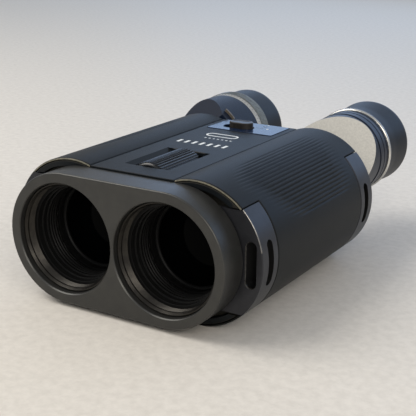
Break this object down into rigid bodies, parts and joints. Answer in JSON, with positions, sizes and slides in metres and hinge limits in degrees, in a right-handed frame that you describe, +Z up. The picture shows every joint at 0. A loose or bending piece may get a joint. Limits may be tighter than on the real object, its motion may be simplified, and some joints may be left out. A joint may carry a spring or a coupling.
{
  "type": "binoculars",
  "caption": "Image-stabilised binoculars with twin objectives in one obround hood, ribbed rubber barrels, a focus wheel, swinging offset eyepieces and twist-up eyecups.",
  "frame": {"origin": "on the resting surface, under the centre of the bounding box", "axes": "+X to the right eyepiece as the user looks through it from behind, +Y from the objectives to the eyepieces, +Z up"},
  "size_m": [0.1264, 0.1864, 0.0677],
  "materials": {
    "black_shell": "satin black",
    "gunmetal": "satin dark grey metallic paint",
    "rubber": "matt, fine ribs along the barrel",
    "gloss_panel": "gloss black-blue",
    "baffle_black": "matt anti-reflection black",
    "glass": "coated lens",
    "prism_glass": "polished",
    "aluminium": "machined",
    "light_grey": "matt mottled light grey",
    "dark_satin": "satin blue-black",
    "knurled": "knurled, champagne grey",
    "bright_metal": "polished",
    "brass": "machined",
    "steel": "machined",
    "circuit": "solder mask",
    "battery_wrap": "printed-free wrap",
    "led_lens": "clear dark lens"
  },
  "bodies": {
    "body": {"front_hood": "gunmetal", "main_shell": "black_shell", "front_bulkhead": "black_shell", "rear_bulkhead": "black_shell", "chassis": "aluminium", "tripod_bush": "brass", "yaw_actuator": "steel", "control_board": "circuit", "control_panel": "gloss_panel", "status_led": "led_lens", "underside_screw_front_left": "steel", "underside_screw_front_right": "steel", "underside_screw_rear_left": "steel", "underside_screw_rear_right": "steel", "rubber_armour_left": "rubber", "rubber_armour_right": "rubber", "strap_lug_front_left": "gunmetal", "strap_lug_front_right": "gunmetal", "strap_lug_rear_left": "gunmetal", "strap_lug_rear_right": "gunmetal", "battery_tube": "black_shell", "battery": "battery_wrap", "filter_ring_left": "gunmetal", "filter_ring_right": "gunmetal", "objective_baffle_left": "baffle_black", "objective_baffle_right": "baffle_black"},
    "focus_knob": {"focus_wheel": "black_shell", "focus_shaft": "steel"},
    "focus_carriage": {"focus_yoke": "aluminium", "objective_cell_left": "baffle_black", "objective_cell_right": "baffle_black", "objective_lens_left": "glass", "objective_lens_right": "glass", "retaining_ring_left": "baffle_black", "retaining_ring_right": "baffle_black"},
    "gimbal_yaw_frame": {"gimbal_outer_frame": "aluminium", "pitch_actuator": "steel"},
    "gimbal_pitch_frame": {"gimbal_prism_frame": "aluminium", "erecting_prism_left": "prism_glass", "erecting_prism_right": "prism_glass"},
    "power_knob": {"power_switch": "knurled"},
    "battery_door": {"battery_cap": "black_shell"},
    "turret_left": {"turret_plate_left": "aluminium", "ocular_housing_left": "dark_satin", "rhomboid_prism_left": "prism_glass", "index_tab": "light_grey"},
    "turret_right": {"turret_plate_right": "aluminium", "ocular_housing_right": "light_grey", "rhomboid_prism_right": "prism_glass", "grip_ring_right": "dark_satin", "trim_ring_right": "bright_metal", "ocular_barrel_right": "baffle_black", "eye_lens_right": "glass"},
    "diopter": {"diopter_ring": "knurled"},
    "ocular_left": {"ocular_barrel_left": "baffle_black", "eye_lens_left": "glass"},
    "cup_guide_left": {"eyecup_guide_left": "baffle_black"},
    "cup_guide_right": {"eyecup_guide_right": "baffle_black"},
    "cup_left": {"eyecup_left": "rubber"},
    "cup_right": {"eyecup_right": "rubber"}
  },
  "joints": [
    {"name": "focus_wheel_turn", "type": "hinge", "parent": "body", "child": "focus_knob", "pos_m": [0, -0.0501, 0.0527], "axis": [0, 1, 0], "range_deg": [-270, 270]},
    {"name": "focus_slide", "type": "slide", "parent": "body", "child": "focus_carriage", "axis": [0, 1, 0], "range_m": [-0.0015, 0.0015]},
    {"name": "gimbal_yaw", "type": "hinge", "parent": "body", "child": "gimbal_yaw_frame", "pos_m": [0, -0.0262, 0.0311], "axis": [0, 0, 1], "range_deg": [-3, 3], "stiffness_Nm_per_rad": 0.2},
    {"name": "gimbal_pitch", "type": "hinge", "parent": "gimbal_yaw_frame", "child": "gimbal_pitch_frame", "pos_m": [0, -0.0262, 0.0311], "axis": [1, 0, 0], "range_deg": [-3, 3], "stiffness_Nm_per_rad": 0.2},
    {"name": "power_switch_slide", "type": "slide", "parent": "body", "child": "power_knob", "axis": [1, 0, 0], "range_m": [-0.003, 0]},
    {"name": "battery_cap_turn", "type": "hinge", "parent": "body", "child": "battery_door", "pos_m": [0, 0.0338, 0.0181], "axis": [0, 1, 0], "range_deg": [0, 60]},
    {"name": "ipd_left", "type": "hinge", "parent": "body", "child": "turret_left", "pos_m": [-0.0253, 0.0338, 0.0311], "axis": [0, 1, 0], "range_deg": [-3.8, 23.4]},
    {"name": "ipd_right", "type": "hinge", "parent": "body", "child": "turret_right", "pos_m": [0.0253, 0.0338, 0.0311], "axis": [0, 1, 0], "range_deg": [-23.4, 3.8]},
    {"name": "diopter_turn", "type": "hinge", "parent": "turret_left", "child": "diopter", "pos_m": [-0.03657, 0.0678, 0.04535], "axis": [0, 1, 0], "range_deg": [-60, 60]},
    {"name": "ocular_left_slide", "type": "slide", "parent": "turret_left", "child": "ocular_left", "axis": [0, 1, 0], "range_m": [-0.001, 0.001]},
    {"name": "eyecup_twist_left", "type": "hinge", "parent": "turret_left", "child": "cup_guide_left", "pos_m": [-0.03657, 0.0768, 0.04535], "axis": [0, 1, 0], "range_deg": [0, 120]},
    {"name": "eyecup_slide_left", "type": "slide", "parent": "cup_guide_left", "child": "cup_left", "axis": [0, 1, 0], "range_m": [0, 0.007]},
    {"name": "eyecup_twist_right", "type": "hinge", "parent": "turret_right", "child": "cup_guide_right", "pos_m": [0.03657, 0.0768, 0.04535], "axis": [0, 1, 0], "range_deg": [0, 120]},
    {"name": "eyecup_slide_right", "type": "slide", "parent": "cup_guide_right", "child": "cup_right", "axis": [0, 1, 0], "range_m": [0, 0.007]}
  ],
  "couplings": [
    {"joint": "focus_wheel_turn", "follows": "focus_slide", "rad_per_m": 3141},
    {"joint": "ipd_right", "follows": "ipd_left", "ratio": -1},
    {"joint": "diopter_turn", "follows": "ocular_left_slide", "rad_per_m": 1047},
    {"joint": "eyecup_twist_left", "follows": "eyecup_slide_left", "rad_per_m": 299.1},
    {"joint": "eyecup_twist_right", "follows": "eyecup_slide_right", "rad_per_m": 299.1}
  ]
}
